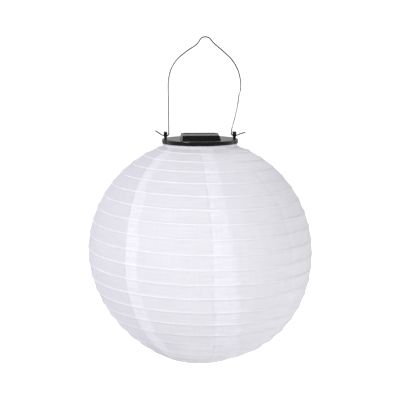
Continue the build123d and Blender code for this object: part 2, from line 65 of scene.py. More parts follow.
class Field:
    # a number that varies over a surface, so that a formula can be written out as one

    def __init__(self, tree, socket):
        self.tree = tree
        self.socket = socket

    def math(self, operation, *others):
        node = self.tree.nodes.new("ShaderNodeMath")
        node.operation = operation
        for socket, value in zip(node.inputs, (self, *others)):
            join(self.tree, value, socket)
        return Field(self.tree, node.outputs[0])

    def __add__(self, other):
        return self.math("ADD", other)

    def __radd__(self, other):
        return self.math("ADD", other)

    def __sub__(self, other):
        return self.math("SUBTRACT", other)

    def __rsub__(self, other):
        return constant(self.tree, other).math("SUBTRACT", self)

    def __mul__(self, other):
        return self.math("MULTIPLY", other)

    def __truediv__(self, other):
        return self.math("DIVIDE", other)

    def __pow__(self, other):
        return self.math("POWER", other)

    def __neg__(self):
        return self.math("MULTIPLY", -1.0)


def join(tree, value, socket):
    if isinstance(value, Field):
        tree.links.new(value.socket, socket)
    else:
        socket.default_value = value


def constant(tree, number):
    node = tree.nodes.new("ShaderNodeValue")
    node.outputs[0].default_value = number
    return Field(tree, node.outputs[0])


def addNode(tree, kind, inputs=None, output=0, **settings):
    node = tree.nodes.new(kind)
    for name, value in settings.items():
        setattr(node, name, value)
    for key, value in (inputs or {}).items():
        join(tree, value, node.inputs[key])
    return Field(tree, node.outputs[output]) if node.outputs else node


def constantInt(tree, number):
    node = tree.nodes.new("FunctionNodeInputInt")
    node.integer = number
    return Field(tree, node.outputs[0])


def combine(tree, x, y, z):
    return addNode(tree, "ShaderNodeCombineXYZ", {0: x, 1: y, 2: z})


def separate(tree, vector):
    node = tree.nodes.new("ShaderNodeSeparateXYZ")
    join(tree, vector, node.inputs[0])
    return [Field(tree, socket) for socket in node.outputs]


def smooth(tree, low, high, value):
    # 0 below low, 1 above high, eased between
    return addNode(
        tree,
        "ShaderNodeMapRange",
        {"Value": value, "From Min": low, "From Max": high},
        interpolation_type="SMOOTHSTEP",
    )


def bell(value, width):
    # 1 at 0, falling off on both sides
    return (-((value / width) ** 2.0)).math("EXPONENT")


def fade(value, width):
    # 1 at 0, falling off with distance
    return (-(value / width)).math("EXPONENT")


def noise(tree, vector, scale=1.0, detail=2.0, roughness=0.5):
    # smooth random field, about -0.5 to 0.5
    return (
        addNode(
            tree,
            "ShaderNodeTexNoise",
            {"Vector": vector, "Scale": scale, "Detail": detail, "Roughness": roughness},
        )
        - 0.5
    )


def onRound(tree, level, angle, height, aside=0.0):
    # a place given by its distance from the lantern's axis, its angle and its height
    return combine(tree, level * angle.math("COSINE") + aside, level * angle.math("SINE"), height)


def newGrid(tree, columns, rows):
    # a sheet of points, with each point's two coordinates from -0.5 to 0.5
    grid = addNode(tree, "GeometryNodeMeshGrid", {"Vertices X": columns, "Vertices Y": rows})
    gridX, gridY, _ = separate(tree, addNode(tree, "GeometryNodeInputPosition"))
    return grid, gridX, gridY


def addObject(name, data):
    made = bpy.data.objects.new(name, data)
    bpy.context.scene.collection.objects.link(made)
    return made


def newShapeTree(name, inputs):
    # inputs: {name: starting value}; a value's type gives the socket's
    tree = bpy.data.node_groups.new(name, "GeometryNodeTree")
    tree.is_modifier = True
    tree.interface.new_socket(name="Geometry", in_out="OUTPUT", socket_type="NodeSocketGeometry")
    for label, value in inputs.items():
        kind = "NodeSocketInt" if isinstance(value, int) else "NodeSocketFloat"
        socket = tree.interface.new_socket(name=label, in_out="INPUT", socket_type=kind)
        socket.default_value = value
    tree.interface.new_socket(name="Material", in_out="INPUT", socket_type="NodeSocketMaterial")
    groupIn = tree.nodes.new("NodeGroupInput")
    return tree, {socket.name: Field(tree, socket) for socket in groupIn.outputs if socket.name}


def endShapeTree(tree, geometry, material):
    real = addNode(tree, "GeometryNodeRealizeInstances", {0: geometry})
    smoothed = addNode(tree, "GeometryNodeSetShadeSmooth", {0: real})
    finished = addNode(tree, "GeometryNodeSetMaterial", {0: smoothed, "Material": material})
    groupOut = tree.nodes.new("NodeGroupOutput")
    join(tree, finished, groupOut.inputs[0])


def storeValue(tree, geometry, label, value, dataType="FLOAT", domain="POINT"):
    return addNode(
        tree,
        "GeometryNodeStoreNamedAttribute",
        {"Geometry": geometry, "Name": label, "Value": value},
        data_type=dataType,
        domain=domain,
    )


def buildByNodes(name, tree, values, material):
    # runs a shape tree once and keeps its result as a plain mesh; values: {name: value} where not the tree's own
    piece = addObject(name, bpy.data.meshes.new(name))
    modifier = piece.modifiers.new("shape", "NODES")
    modifier.node_group = tree
    sockets = {item.name: item.identifier for item in tree.interface.items_tree if item.in_out == "INPUT"}
    for label, value in values.items():
        modifier[sockets[label]] = value
    modifier[sockets["Material"]] = material
    depsgraph = bpy.context.evaluated_depsgraph_get()
    result = bpy.data.meshes.new_from_object(
        piece.evaluated_get(depsgraph), preserve_all_data_layers=True, depsgraph=depsgraph
    )
    piece.modifiers.clear()
    piece.data = result
    result.name = name
    return piece


# shared shader groups


def objectPlace(tree):
    return addNode(tree, "ShaderNodeTexCoord", output=3)


def newEffect(name, inputs, outputs):
    # inputs: {name: starting value}, outputs: [names]; every socket is a number unless it is called Vector
    tree = bpy.data.node_groups.new(name, "ShaderNodeTree")
    for label, value in inputs.items():
        kind = "NodeSocketVector" if label == "Vector" else "NodeSocketFloat"
        socket = tree.interface.new_socket(name=label, in_out="INPUT", socket_type=kind)
        if label != "Vector":
            socket.default_value = value
    for label in outputs:
        tree.interface.new_socket(name=label, in_out="OUTPUT", socket_type="NodeSocketFloat")
    groupIn = tree.nodes.new("NodeGroupInput")
    groupOut = tree.nodes.new("NodeGroupOutput")
    return tree, {socket.name: Field(tree, socket) for socket in groupIn.outputs if socket.name}, groupOut


def makeWeaveEffect():
    # plain weave with uneven threads: Height for a bump, Slub for colour
    tree, given, groupOut = newEffect(
        "plainWeave", {"Vector": None, "Threads": 2600.0, "Unevenness": 1.0}, ["Height", "Slub"]
    )
    across, along, _ = separate(tree, given["Vector"])
    warp = (across * given["Threads"] * turn).math("SINE")
    weft = (along * given["Threads"] * turn).math("SINE")
    weave = warp * weft * 0.25 + 0.5
    weftSlub = noise(tree, combine(tree, across * 30.0, along * 900.0, 0.0), 1.0, 3.0, 0.6)
    warpSlub = noise(tree, combine(tree, across * 900.0, along * 30.0, 3.7), 1.0, 3.0, 0.6)
    slub = (weftSlub * 1.3 + warpSlub * 0.8) * given["Unevenness"]
    join(tree, weave + slub, groupOut.inputs["Height"])
    join(tree, slub, groupOut.inputs["Slub"])
    return tree


def makeMouldedEffect():
    # skin of a moulded plastic part: fine spark texture, slow gloss changes, dust on what faces up
    tree, given, groupOut = newEffect(
        "mouldedSkin", {"Grain": 2200.0, "Flow": 60.0}, ["Height", "Gloss", "Dust", "Scuff"]
    )
    place = objectPlace(tree)
    grain = noise(tree, place, given["Grain"], 2.0)
    flow = noise(tree, place, given["Flow"], 4.0, 0.6)
    facing = separate(tree, addNode(tree, "ShaderNodeNewGeometry", output=1))[2]
    speck = noise(tree, place, given["Flow"] * 22.0, 3.0, 0.7)
    dust = smooth(tree, 0.35, 0.95, facing) * smooth(tree, 0.02, 0.3, speck + flow * 0.6)
    streak = noise(tree, addNode(tree, "ShaderNodeMapping", {0: place, 3: (1.0, 14.0, 14.0)}), 160.0, 2.0)
    join(tree, grain, groupOut.inputs["Height"])
    join(tree, flow, groupOut.inputs["Gloss"])
    join(tree, dust, groupOut.inputs["Dust"])
    join(tree, smooth(tree, 0.16, 0.3, streak), groupOut.inputs["Scuff"])
    return tree


def makeMetalEffect():
    # drawn or rolled metal: fine lines and a slow tarnish
    tree, given, groupOut = newEffect(
        "drawnMetal", {"Lines": 5000.0, "Stretch": 0.04, "Tarnish": 90.0}, ["Height", "Stain", "Line"]
    )
    place = objectPlace(tree)
    x, y, z = separate(tree, place)
    lines = noise(tree, combine(tree, x, y, z * given["Stretch"]), given["Lines"], 2.0)
    stain = noise(tree, place, given["Tarnish"], 5.0, 0.65)
    join(tree, lines * 0.6 + stain * 0.4, groupOut.inputs["Height"])
    join(tree, smooth(tree, -0.12, 0.25, stain), groupOut.inputs["Stain"])
    join(tree, lines, groupOut.inputs["Line"])
    return tree


plainWeave = makeWeaveEffect()
mouldedSkin = makeMouldedEffect()
drawnMetal = makeMetalEffect()


def useEffect(tree, group, inputs=None):
    node = tree.nodes.new("ShaderNodeGroup")
    node.node_tree = group
    for key, value in (inputs or {}).items():
        join(tree, value, node.inputs[key])
    return {socket.name: Field(tree, socket) for socket in node.outputs}


def newMaterial(name, plain):
    # plain: values that are the same all over the surface, set on the shader's own sockets
    material = bpy.data.materials.new(name)
    material.use_nodes = True
    tree = material.node_tree
    tree.nodes.clear()
    shader = tree.nodes.new("ShaderNodeBsdfPrincipled")
    for key, value in plain.items():
        shader.inputs[key].default_value = value
    output = tree.nodes.new("ShaderNodeOutputMaterial")
    tree.links.new(shader.outputs[0], output.inputs[0])
    return material, tree, shader


def blendColour(tree, first, second, share):
    node = tree.nodes.new("ShaderNodeMix")
    node.data_type = "RGBA"
    join(tree, share, node.inputs["Factor"])
    for key, value in ((6, first), (7, second)):
        if isinstance(value, Field):
            tree.links.new(value.socket, node.inputs[key])
        else:
            node.inputs[key].default_value = (*value, 1.0)
    return Field(tree, node.outputs[2])


def setBump(tree, shader, height, strength, distance):
    bump = addNode(tree, "ShaderNodeBump", {"Strength": strength, "Distance": distance, "Height": height})
    join(tree, bump, shader.inputs["Normal"])


def plasticMaterial(name, colour, dustColour, roughness, spread, grain=2200.0, plain=None):
    material, tree, shader = newMaterial(name, plain or {})
    skin = useEffect(tree, mouldedSkin, {"Grain": grain})
    dusty = blendColour(tree, colour, dustColour, skin["Dust"] * 0.04)
    scuffed = blendColour(tree, dusty, dustColour, skin["Scuff"] * 0.03)
    join(tree, scuffed, shader.inputs["Base Color"])
    join(tree, skin["Gloss"] * spread + skin["Dust"] * 0.07 + roughness, shader.inputs["Roughness"])
    setBump(tree, shader, skin["Height"], 0.25, 0.00006)
    return material


# where the bail is painted darker: painted shade along the top, standing in for its dark reflection, and darker cut
# ends; the top and the ends as shares of its box, and the height of the cut ends
bailDarkening = {"topFrom": 0.42, "topTo": 0.75, "endFrom": 0.80, "endTo": 0.86, "endHigh": 0.315, "endFade": 0.015}


def makeBailMaterial():
    # bright plating on the legs, with painted shade along the top standing in for its dark reflection, and darker at
    # the cut ends
    material, tree, shader = newMaterial("bailSteel", {"Metallic": 1.0})
    metal = useEffect(tree, drawnMetal, {"Stretch": 0.02})
    low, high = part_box("bail_wire")
    x, _, z = separate(tree, objectPlace(tree))
    tall = high.z - low.z
    top = smooth(tree, low.z + tall * bailDarkening["topFrom"], low.z + tall * bailDarkening["topTo"], z)
    outer = smooth(tree, high.x * bailDarkening["endFrom"], high.x * bailDarkening["endTo"], x.math("ABSOLUTE"))
    ends = outer * (1.0 - smooth(tree, bailDarkening["endHigh"] - bailDarkening["endFade"], bailDarkening["endHigh"], z))
    # painted shade along the top and darker cut ends, with the metal's own tarnish added
    topShadeAndEnds = (top.math("MAXIMUM", ends) + metal["Stain"] * 0.15).math("MINIMUM", 1.0)
    join(tree, blendColour(tree, (0.66, 0.64, 0.60), (0.075, 0.075, 0.08), topShadeAndEnds), shader.inputs["Base Color"])
    join(tree, metal["Stain"] * 0.16 + topShadeAndEnds * 0.1 + 0.2, shader.inputs["Roughness"])
    setBump(tree, shader, metal["Height"], 0.3, 0.00003)
    return material


def metalMaterial(name, colour, stainColour, roughness, stretch=0.04):
    material, tree, shader = newMaterial(name, {"Metallic": 1.0})
    metal = useEffect(tree, drawnMetal, {"Stretch": stretch})
    join(tree, blendColour(tree, colour, stainColour, metal["Stain"] * 0.5), shader.inputs["Base Color"])
    join(tree, metal["Stain"] * 0.16 + metal["Line"] * 0.12 + roughness, shader.inputs["Roughness"])
    setBump(tree, shader, metal["Height"], 0.3, 0.00003)
    return material


# cloth of the shade

cloth = {
    "colour": (0.845, 0.842, 0.868),
    "paintedShadeColour": (0.76, 0.755, 0.825),
    "bandColour": (0.915, 0.91, 0.95),
    "ribColour": (1.0, 1.0, 1.0),
    # darker colour for the uneven threads, and for painted shade at the seams, tucks and gathers
    "slubAndShadeColour": (0.60, 0.59, 0.66),
    "glow": 0.34,
    "seeThrough": 0.06,
}


def makeClothMaterial():
    material, tree, shader = newMaterial(
        "shadeCloth",
        {"Sheen Weight": 0.25, "Sheen Roughness": 0.45, "Specular IOR Level": 0.35},
    )
    surface = addNode(tree, "ShaderNodeUVMap", uv_map="UVMap")
    weave = useEffect(tree, plainWeave, {"Vector": surface})
    band, rib, seam, tuckShade, paintedGoreShade = [
        addNode(tree, "ShaderNodeAttribute", output=2, attribute_name=label)
        for label in ("band", "rib", "seam", "tuckShade", "paintedGoreShade")
    ]
    # painted shade laid over whole gores, stronger on some than others
    laid = blendColour(tree, cloth["colour"], cloth["paintedShadeColour"], paintedGoreShade)
    banded = blendColour(tree, laid, cloth["bandColour"], band)
    uneven = (weave["Slub"] * 0.5 + 0.06).math("MAXIMUM", 0.0)
    streaked = blendColour(tree, banded, cloth["slubAndShadeColour"], uneven)
    # painted shade along the seams and in the valleys of the neck binding's gathers
    seamed = blendColour(tree, streaked, cloth["slubAndShadeColour"], seam * 0.4)
    # painted shade in the tucks under the wire
    creased = blendColour(tree, seamed, cloth["slubAndShadeColour"], tuckShade * 0.2)
    # pale line over each turn of wire: partly the casing, partly a painted highlight
    ribbed = blendColour(tree, creased, cloth["ribColour"], rib)
    join(tree, ribbed, shader.inputs["Base Color"])
    join(tree, weave["Slub"] * 0.25 + 0.56, shader.inputs["Roughness"])
    setBump(tree, shader, weave["Height"], 0.35, 0.00008)
    lit = tree.nodes.new("ShaderNodeBsdfTranslucent")
    join(tree, ribbed, lit.inputs["Color"])
    clear = tree.nodes.new("ShaderNodeBsdfTransparent")
    glowMix = tree.nodes.new("ShaderNodeMixShader")
    glowMix.inputs[0].default_value = cloth["glow"]
    tree.links.new(shader.outputs[0], glowMix.inputs[1])
    tree.links.new(lit.outputs[0], glowMix.inputs[2])
    clearMix = tree.nodes.new("ShaderNodeMixShader")
    join(tree, (1.0 - band * 0.5 - rib * 0.5) * cloth["seeThrough"], clearMix.inputs[0])
    tree.links.new(glowMix.outputs[0], clearMix.inputs[1])
    tree.links.new(clear.outputs[0], clearMix.inputs[2])
    output = next(node for node in tree.nodes if node.type == "OUTPUT_MATERIAL")
    tree.links.new(clearMix.outputs[0], output.inputs[0])
    return material


def makeTapeMaterial():
    material, tree, shader = newMaterial("tapeCloth", {"Sheen Weight": 0.2, "Specular IOR Level": 0.3})
    place = objectPlace(tree)
    weave = useEffect(tree, plainWeave, {"Vector": place, "Threads": 1500.0, "Unevenness": 0.6})
    colour = blendColour(tree, (0.86, 0.85, 0.89), (0.62, 0.61, 0.67), weave["Slub"] * 0.6 + 0.2)
    join(tree, colour, shader.inputs["Base Color"])
    join(tree, weave["Slub"] * 0.2 + 0.68, shader.inputs["Roughness"])
    setBump(tree, shader, weave["Height"], 0.4, 0.0001)
    return material


def makeThreadMaterial():
    material, tree, shader = newMaterial("sewingThread", {"Sheen Weight": 0.3})
    place = objectPlace(tree)
    twist = noise(tree, place, 9000.0, 1.0)
    join(tree, blendColour(tree, (0.9, 0.9, 0.93), (0.6, 0.6, 0.65), twist + 0.4), shader.inputs["Base Color"])
    join(tree, twist * 0.2 + 0.6, shader.inputs["Roughness"])
    setBump(tree, shader, twist, 0.5, 0.00005)
    return material


shadeCloth = makeClothMaterial()
tapeCloth = makeTapeMaterial()
sewingThread = makeThreadMaterial()


# the shade: eight sewn gores over one spiral wire

shadeRadius = 0.15
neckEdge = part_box("neck_hoop")[1].x
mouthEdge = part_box("mouth_hem")[1].x
neckHeight = (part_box("neck_hoop")[0].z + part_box("neck_hoop")[1].z) / 2
mouthHeight = (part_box("mouth_hoop")[0].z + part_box("mouth_hoop")[1].z) / 2
shadeHeight = (neckHeight + mouthHeight) / 2

shade = {
    "turnLatitude": 7.128,  # degrees from one turn of the wire to the next
    "firstLatitude": 69.5,
    "turns": 19.5,
    "coilStart": 72.0,  # direction of the wire's upper end
    "rows": 322,
    "columns": 42,
    "sag": 0.00034,  # cloth between two turns
    "ribHeight": 0.00068,
    "ribWidth": 0.0009,
    "pucker": 0.0011,
    "slack": 0.0013,
    "ripple": 0.0007,
    "askew": 0.0046,  # how far the lower half hangs to one side
    "inside": 0.0003,  # how far the cloth lies inside the shade's radius
    "bandColumns": 13,
    "bandStep": 0.0055,  # how unevenly the allowance is cut from one turn of wire to the next
    "bandWander": 0.005,
    "bandClear": 0.00012,  # between the gore and the allowance under it
    "bandTuck": 0.0004,  # how deep the raw edge of the allowance turns in
    "crowding": 0.82,  # how far the columns close up at the seams
    "rowCrowding": 0.8,  # and the rows at the wire
    "tuckBelow": 0.0019,  # line under each turn of wire, where the casing is sewn down
    "tuckWidth": 0.0008,
    "tuckDepth": 0.00018,
    "grooveWidth": 0.0006,  # along each seam
    "grooveDepth": 0.0004,
    "lineWidth": 0.00095,  # pale line over the wire, partly the casing showing through and partly a painted highlight
    "seamWidth": 0.0007,  # painted shade along a seam, in its groove
    "calm": 0.0014,  # how far from a seam the wrinkles die out, so that two gores meet exactly
    "gauge": 0.118,  # width of a gore where the packing creases were set out
    "creasesAt": (0.46, 0.79),
    "creaseWidth": 0.0011,
    "creaseHeight": 0.00035,
}
# each seam: its direction at the widest place, how far it leans at the top,
# its allowance's width and taper, how plainly the allowance shows through, how strong the pale line over the wire is
# there, partly the casing and partly a painted highlight, and how much painted shade lies over the gore that follows
# it
seams = [
    (3.5, -5.0, 0.021, 0.00010, 0.6, 0.6, 0.3),
    (48.5, -8.0, 0.026, 0.00016, 0.5, 0.9, 0.1),
    (93.5, -4.0, 0.019, 0.00008, 0.7, 0.7, 0.5),
    (138.5, -9.0, 0.024, 0.00018, 0.5, 0.9, 0.2),
    (183.5, -6.0, 0.022, 0.00012, 0.6, 1.0, 0.65),
    (229.6, -12.5, 0.0185, 0.00004, 0.7, 1.0, 0.1),
    (274.3, -4.2, 0.0275, 0.00019, 0.5, 0.85, 0.2),
    (318.5, -7.0, 0.012, 0.00010, 0.12, 0.2, 0.2),
]


def seamDirection(tree, direction, lean, latitude):
    # a seam swings round a little towards the neck, and wanders where each turn of wire pulls it
    angle = direction * degree
    spot = combine(tree, latitude * 0.16, angle.math("COSINE") * 4.0, angle.math("SINE") * 4.0)
    pulled = noise(tree, spot, 1.0, 2.0)
    return direction + lean * (latitude.math("MAXIMUM", 0.0) / 60.0) ** 2.0 + pulled * 1.1


def hangAskew(tree, latitude):
    # sideways shift of the lower half, which comes back to its hoop at the mouth
    lower = smooth(tree, -8.0, 50.0, -latitude)
    return lower * (1.0 - smooth(tree, 56.0, 70.5, -latitude)) * shade["askew"]


# what every piece that follows the wire or the cloth is given
wirePath = {
    "Centre Height": shadeHeight, "First Latitude": shade["firstLatitude"],
    "Turn Latitude": shade["turnLatitude"], "Turns": shade["turns"], "Coil Start": shade["coilStart"],
}
clothPath = {
    "Radius": shadeRadius, "Centre Height": shadeHeight,
    "Top Latitude": math.degrees(math.acos(neckEdge / shadeRadius)),
    "Bottom Latitude": -math.degrees(math.acos(mouthEdge / shadeRadius)),
}
goreLength = math.radians(clothPath["Top Latitude"] - clothPath["Bottom Latitude"]) * shadeRadius


def makeGoreTree():
    tree, given = newShapeTree(
        "goreShape",
        {
            **wirePath, **clothPath,
            "Left Seam": 0.0, "Left Lean": 0.0, "Right Seam": 45.0, "Right Lean": 0.0,
            "Band Width": 0.02, "Band Taper": 0.0001, "Band Strength": 0.6,
            "Left Rib Light": 1.0, "Right Rib Light": 1.0, "Painted Gore Shade": 0.2, "Seed": 1.0,
            "Sag": shade["sag"], "Rib Height": shade["ribHeight"], "Rib Width": shade["ribWidth"],
            "Pucker": shade["pucker"], "Slack": shade["slack"], "Ripple": shade["ripple"],
            "Rows": shade["rows"], "Columns": shade["columns"],
        },
    )
    radius = given["Radius"]

    def layer(columns, isBand):
        grid, gridX, gridY = newGrid(tree, columns, given["Rows"])
        across = gridX + 0.5
        down = 0.5 - gridY
        evenLatitude = given["Top Latitude"] + (given["Bottom Latitude"] - given["Top Latitude"]) * down

        def direction(latitude):
            left = seamDirection(tree, given["Left Seam"], given["Left Lean"], latitude)
            right = seamDirection(tree, given["Right Seam"], given["Right Lean"], latitude)
            return left, right

        def phase(latitude, angle):
            # counts turns of the wire from its upper end; whole numbers lie on the wire
            fallen = (given["First Latitude"] - latitude) / given["Turn Latitude"]
            return fallen - (angle - given["Coil Start"]) / 360.0

        packed = across - (across * turn).math("SINE") * (shade["crowding"] / turn)
        left, right = direction(evenLatitude)
        evenPhase = phase(evenLatitude, left + (right - left) * packed)
        ends = smooth(tree, 0.0, 0.03, down) * smooth(tree, 0.0, 0.03, 1.0 - down)
        crowd = (evenPhase * turn).math("SINE") * ends
        latitude = evenLatitude + crowd * given["Turn Latitude"] * (shade["rowCrowding"] / turn)
        left, right = direction(latitude)
        arc = (latitude * degree).math("COSINE") * radius * degree  # metres round for one degree
        height = latitude * radius * degree
        index = phase(latitude, left).math("FLOOR")
        step = addNode(tree, "ShaderNodeTexWhiteNoise", {"Vector": combine(tree, index, given["Seed"], 0.0)})
        wander = noise(tree, combine(tree, height * 90.0, given["Seed"], 2.0), 1.0, 2.0)
        tapered = given["Band Width"] - given["Band Taper"] * latitude
        bandWidth = tapered + (step - 0.5) * shade["bandStep"] + wander * shade["bandWander"]
        if isBand:
            fromSeam = across * bandWidth
            angle = left + fromSeam / arc
        else:
            angle = left + (right - left) * packed
            fromSeam = (angle - left) * arc
        here = phase(latitude, angle)
        part = here.math("FRACT")
        gap = part.math("MINIMUM", 1.0 - part) * given["Turn Latitude"] * degree * radius
        fromTop = (given["First Latitude"] - latitude) / given["Turn Latitude"]
        lastTurn = 1.0 - smooth(tree, given["Turns"], given["Turns"] + 0.1, fromTop)
        onCoil = smooth(tree, -0.1, 0.0, fromTop) * lastTurn
        hollow = part * (1.0 - part) * 4.0 * onCoil
        free = hollow ** 0.6
        nearSeam = fromSeam.math("MINIMUM", (right - angle) * arc)
        low = smooth(tree, -12.0, 46.0, -latitude)
        around = angle * degree * radius

        pucker = noise(tree, combine(tree, nearSeam * 45.0, height * 210.0, given["Seed"]), 1.0, 3.0, 0.55)
        slack = noise(tree, combine(tree, around * 16.0, height * 190.0, given["Seed"] + 7.0), 1.0, 2.0, 0.5)
        ripple = noise(tree, combine(tree, around * 22.0, height * 60.0, given["Seed"] + 13.0), 1.0, 3.0, 0.5)
        streak = noise(tree, combine(tree, around * 30.0, height * 420.0, given["Seed"] + 23.0), 1.0, 2.0, 0.5)
        onBand = 1.0 - smooth(tree, -0.0007, 0.0007, fromSeam - bandWidth)
        share = fromSeam / ((right - left) * arc)
        first, second = [
            bell((share - at) * shade["gauge"], shade["creaseWidth"]) for at in shade["creasesAt"]
        ]
        creases = first + second
        gathered = onBand * (0.4 + smooth(tree, 30.0, 58.0, -latitude) * 1.2)
        wrinkles = (
            pucker * given["Pucker"] * (fade(nearSeam, 0.010) + gathered)
            + slack * given["Slack"] * low
            + ripple * given["Ripple"]
            + streak * given["Ripple"] * (0.25 + onBand * 0.4)
            + creases * shade["creaseHeight"]
        ) * free * (1.0 - fade(nearSeam, shade["calm"]))
        ridge = bell(gap, given["Rib Width"]) * onCoil * given["Rib Height"]
        below = part * given["Turn Latitude"] * degree * radius
        tuck = bell(below - shade["tuckBelow"], shade["tuckWidth"]) * onCoil
        along = noise(tree, combine(tree, around * 40.0, index, given["Seed"] + 31.0), 1.0, 2.0)
        groove = fade(nearSeam, shade["grooveWidth"]) * shade["grooveDepth"]
        out = radius - shade["inside"] - hollow * given["Sag"] + ridge - tuck * shade["tuckDepth"] + wrinkles - groove
        if isBand:
            clear = smooth(tree, 0.0, 0.02, 1.0 - down) * 0.00023 + shade["bandClear"]
            out = out - clear - (hollow * 0.0005 + fade(fromSeam, 0.001) * shade["bandTuck"]) * ends
        level = (latitude * degree).math("COSINE") * out
        tall = given["Centre Height"] + (latitude * degree).math("SINE") * out
        place = onRound(tree, level, angle * degree, tall, hangAskew(tree, latitude))
        # values are kept before the points move, because they are worked out from the flat grid
        made = storeValue(tree, grid, "UVMap", combine(tree, around, height, 0.0), "FLOAT2", "CORNER")
        patch = noise(tree, combine(tree, around * 130.0, height * 150.0, given["Seed"] + 41.0), 1.0, 3.0, 0.6)
        shown = onBand * given["Band Strength"] * (0.8 + streak * 2.2 + wander * 0.6 + pucker * 1.0 + patch * 1.8)
        made = storeValue(tree, made, "band", constant(tree, 1.0) if isBand else shown)
        # painted highlight on the line over the wire, fainter on the side away from the key light and towards the
        # bottom; the casing showing through gives the rest
        ribLight = given["Left Rib Light"] + (given["Right Rib Light"] - given["Left Rib Light"]) * share
        lineShown = (0.25 + smooth(tree, -55.0, -12.0, latitude) * 0.75) * (0.85 + along * 0.8) * ribLight
        made = storeValue(tree, made, "rib", bell(gap, shade["lineWidth"]) * onCoil * lineShown)
        # painted shade over the whole gore, broken up by its streaks and ripples
        made = storeValue(tree, made, "paintedGoreShade", given["Painted Gore Shade"] * (1.0 + streak * 0.8 + ripple * 0.5))
        # painted shade in the tuck under each turn of wire, stronger towards the bottom
        lowerTuckShade = 0.6 + smooth(tree, 0.0, 50.0, -latitude) * 1.6
        made = storeValue(tree, made, "tuckShade", tuck * (0.6 + along) * lowerTuckShade)
        # painted shade along each seam, stronger towards the top and where the allowance shows less
        highSeam = 0.35 + smooth(tree, 5.0, 40.0, latitude) * 0.65
        seamShown = fade(nearSeam, shade["seamWidth"]) * (given["Band Strength"] * -0.5 + 0.75) * highSeam
        made = storeValue(tree, made, "seam", constant(tree, 0.0) if isBand else seamShown)
        return addNode(tree, "GeometryNodeSetPosition", {"Geometry": made, "Position": place})

    panel = layer(given["Columns"], False)
    allowance = layer(constantInt(tree, shade["bandColumns"]), True)
    joined = tree.nodes.new("GeometryNodeJoinGeometry")
    tree.links.new(allowance.socket, joined.inputs[0])
    tree.links.new(panel.socket, joined.inputs[0])
    endShapeTree(tree, Field(tree, joined.outputs[0]), given["Material"])
    return tree


foldJoint = next(joint for joint in frame["joints"] if joint["name"] == "shade_fold")
foldKeep = (neckHeight - mouthHeight - foldJoint["range_m"][1]) / (neckHeight - mouthHeight)
goreTree = makeGoreTree()


def foldWithShade(piece):
    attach(piece, "shade")
    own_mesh(piece)


def makeGores():
    made = []
    for number, (direction, lean, bandWidth, bandTaper, bandStrength, ribLight, paintedGoreShade) in enumerate(seams):
        nextDirection, nextLean, *_, nextRibLight, _ = seams[(number + 1) % len(seams)]
        piece = buildByNodes(
            f"cloth_gore_{number + 1}",
            goreTree,
            {
                "Left Seam": direction, "Left Lean": lean,
                "Right Seam": nextDirection + (360.0 if nextDirection < direction else 0.0), "Right Lean": nextLean,
                "Band Width": bandWidth, "Band Taper": bandTaper, "Band Strength": bandStrength,
                "Left Rib Light": ribLight, "Right Rib Light": nextRibLight, "Painted Gore Shade": paintedGoreShade, "Seed": 11.0 + 5.3 * number,
            },
            shadeCloth,
        )
        foldWithShade(piece)
        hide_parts(f"gore_{number + 1}")
        made.append(piece)
    return made


gores = makeGores()
print("gores sewn:", sum(len(piece.data.polygons) for piece in gores), "faces")


# the spiral spring wire, and the tape that holds it to the cloth

spiral = {"pointsEachTurn": 72, "wire": 0.0005, "tapeWidth": 0.0052, "tapeDepth": 0.0008, "tapeInside": 0.0001}
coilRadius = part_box("rib_coil")[1].y - spiral["wire"]
coilPath = {**wirePath, "Points": int(shade["turns"] * spiral["pointsEachTurn"])}


def makeCoilTree():
    tree, given = newShapeTree("coilShape", {**coilPath, "Radius": coilRadius, "Wire": spiral["wire"]})
    line = addNode(tree, "GeometryNodeMeshLine", {"Count": given["Points"]})
    index = addNode(tree, "GeometryNodeInputIndex")
    turns = index / (given["Points"] - 1.0) * given["Turns"]
    latitude = (given["First Latitude"] - turns * given["Turn Latitude"]) * degree
    angle = (given["Coil Start"] + turns * 360.0) * degree
    level = latitude.math("COSINE") * given["Radius"]
    height = given["Centre Height"] + latitude.math("SINE") * given["Radius"]
    place = onRound(tree, level, angle, height, hangAskew(tree, latitude / degree))
    moved = addNode(tree, "GeometryNodeSetPosition", {"Geometry": line, "Position": place})
    path = addNode(tree, "GeometryNodeMeshToCurve", {"Mesh": moved})
    profile = addNode(
        tree, "GeometryNodeCurvePrimitiveCircle", {"Resolution": constantInt(tree, 8), "Radius": given["Wire"]}
    )
    wire = addNode(tree, "GeometryNodeCurveToMesh", {"Curve": path, "Profile Curve": profile, "Fill Caps": True})
    endShapeTree(tree, wire, given["Material"])
    return tree


def makeTapeTree():
    radius = coilRadius - spiral["tapeInside"]
    tree, given = newShapeTree(
        "tapeShape", {**coilPath, "Radius": radius, "Width": spiral["tapeWidth"], "Depth": spiral["tapeDepth"]}
    )
    grid, gridX, gridY = newGrid(tree, given["Points"], constantInt(tree, 7))
    turns = (gridX + 0.5) * given["Turns"]
    angle = (given["Coil Start"] + turns * 360.0) * degree
    ruffle = noise(tree, combine(tree, turns * 40.0, gridY, 5.0), 1.0, 2.0) * 0.0005
    offset = gridY * given["Width"] + ruffle * gridY
    latitude = (given["First Latitude"] - turns * given["Turn Latitude"]) * degree + offset / given["Radius"]
    hump = bell(gridY, 0.22) * given["Depth"]
    out = given["Radius"] - hump - ruffle * 0.3
    level = latitude.math("COSINE") * out
    height = given["Centre Height"] + latitude.math("SINE") * out
    place = onRound(tree, level, angle, height, hangAskew(tree, latitude / degree))
    moved = addNode(tree, "GeometryNodeSetPosition", {"Geometry": grid, "Position": place})
    turned = addNode(tree, "GeometryNodeFlipFaces", {"Mesh": moved})
    endShapeTree(tree, turned, given["Material"])
    return tree


# the seam stitches, on the inside where the gores are joined

stitch = {"length": 0.0021, "pitch": 0.0029, "thread": 0.00016, "inset": 0.0011, "depth": 0.0017, "hemGap": 2.0}


